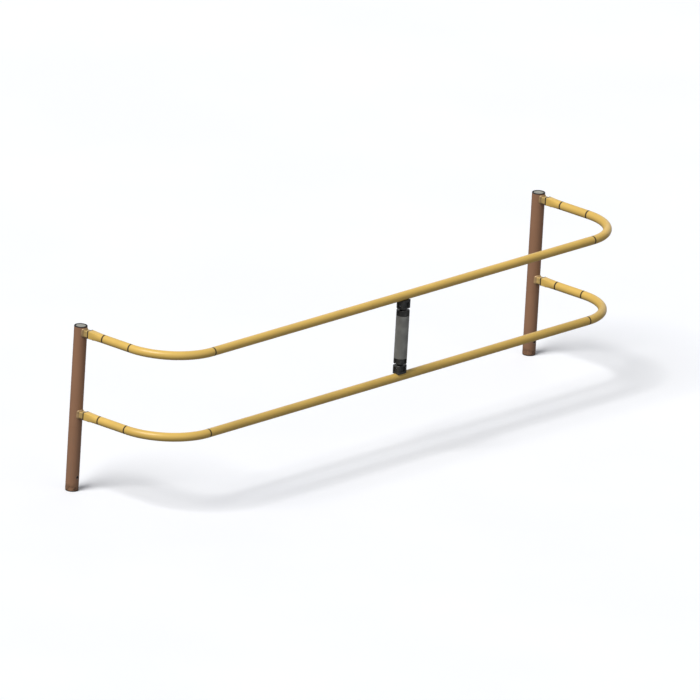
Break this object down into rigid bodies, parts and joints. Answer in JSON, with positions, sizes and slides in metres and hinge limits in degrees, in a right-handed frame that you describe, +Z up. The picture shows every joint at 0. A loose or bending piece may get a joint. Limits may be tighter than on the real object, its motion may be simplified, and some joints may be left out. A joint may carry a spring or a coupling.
{
  "type": "kip bar",
  "caption": "Low double hand rail with rounded returns that plugs onto two floor-socket uprights, with a screw strut between the rails.",
  "frame": {"origin": "centre of the footprint, level with the bottom of the uprights' feet", "axes": "+X along the rails from the left upright to the right one, +Y from the long rails back towards the uprights, +Z up"},
  "size_m": [3.1004, 0.6242, 0.775],
  "materials": {
    "rail_yellow": "satin powder coat",
    "upright_brown": "fine-textured powder coat",
    "spigot_gold": "yellow-passivated steel",
    "weld_steel": "painted weld bead",
    "plastic_black": "matte",
    "plug_grey": "matte",
    "rubber_black": "matte",
    "barrel_grey": "satin",
    "cast_black": "black enamel",
    "thread_steel": "oiled",
    "steel_zinc": "zinc plated"
  },
  "bodies": {
    "uprights": {"left_upright_tube": "upright_brown", "left_top_edge_ring": "rubber_black", "left_top_plug": "plug_grey", "left_foot_cap": "plastic_black", "left_upper_spigot": "spigot_gold", "left_upper_spigot_weld": "weld_steel", "left_lower_spigot": "spigot_gold", "left_lower_spigot_weld": "weld_steel", "right_upright_tube": "upright_brown", "right_top_edge_ring": "rubber_black", "right_top_plug": "plug_grey", "right_foot_cap": "plastic_black", "right_upper_spigot": "spigot_gold", "right_upper_spigot_weld": "weld_steel", "right_lower_spigot": "spigot_gold", "right_lower_spigot_weld": "weld_steel"},
    "rail_frame": {"left_upper_socket_end": "rail_yellow", "left_upper_return_tube": "rail_yellow", "left_upper_elbow": "rail_yellow", "left_lower_socket_end": "rail_yellow", "left_lower_return_tube": "rail_yellow", "left_lower_elbow": "rail_yellow", "right_upper_socket_end": "rail_yellow", "right_upper_return_tube": "rail_yellow", "right_upper_elbow": "rail_yellow", "right_lower_socket_end": "rail_yellow", "right_lower_return_tube": "rail_yellow", "right_lower_elbow": "rail_yellow", "upper_long_tube": "rail_yellow", "lower_long_tube": "rail_yellow", "upper_rail_joiners": "plastic_black", "lower_rail_joiners": "plastic_black", "socket_set_screws": "steel_zinc"},
    "strut_barrel": {"strut_barrel": "barrel_grey", "upper_barrel_nut": "thread_steel", "lower_barrel_nut": "thread_steel", "upper_lock_ring": "cast_black", "lower_lock_ring": "cast_black"},
    "upper_jack": {"upper_spindle": "thread_steel", "upper_saddle": "cast_black", "upper_saddle_liner": "rubber_black", "upper_saddle_pin": "steel_zinc"},
    "lower_jack": {"lower_spindle": "thread_steel", "lower_saddle": "cast_black", "lower_saddle_liner": "rubber_black", "lower_saddle_pin": "steel_zinc"}
  },
  "joints": [
    {"name": "rail_frame_pull_off", "type": "slide", "parent": "uprights", "child": "rail_frame", "axis": [0, -1, 0], "range_m": [0, 0.06]},
    {"name": "strut_turn", "type": "hinge", "parent": "rail_frame", "child": "strut_barrel", "pos_m": [0, -0.28207, 0.556], "axis": [0, 0, 1], "range_deg": [0, 540]},
    {"name": "upper_saddle_retract", "type": "slide", "parent": "rail_frame", "child": "upper_jack", "axis": [0, 0, -1], "range_m": [0, 0.00601]},
    {"name": "lower_saddle_retract", "type": "slide", "parent": "rail_frame", "child": "lower_jack", "axis": [0, 0, 1], "range_m": [0, 0.00601]}
  ],
  "couplings": [
    {"joint": "upper_saddle_retract", "follows": "strut_turn", "m_per_rad": 0.00063662},
    {"joint": "lower_saddle_retract", "follows": "strut_turn", "m_per_rad": 0.00063662}
  ]
}
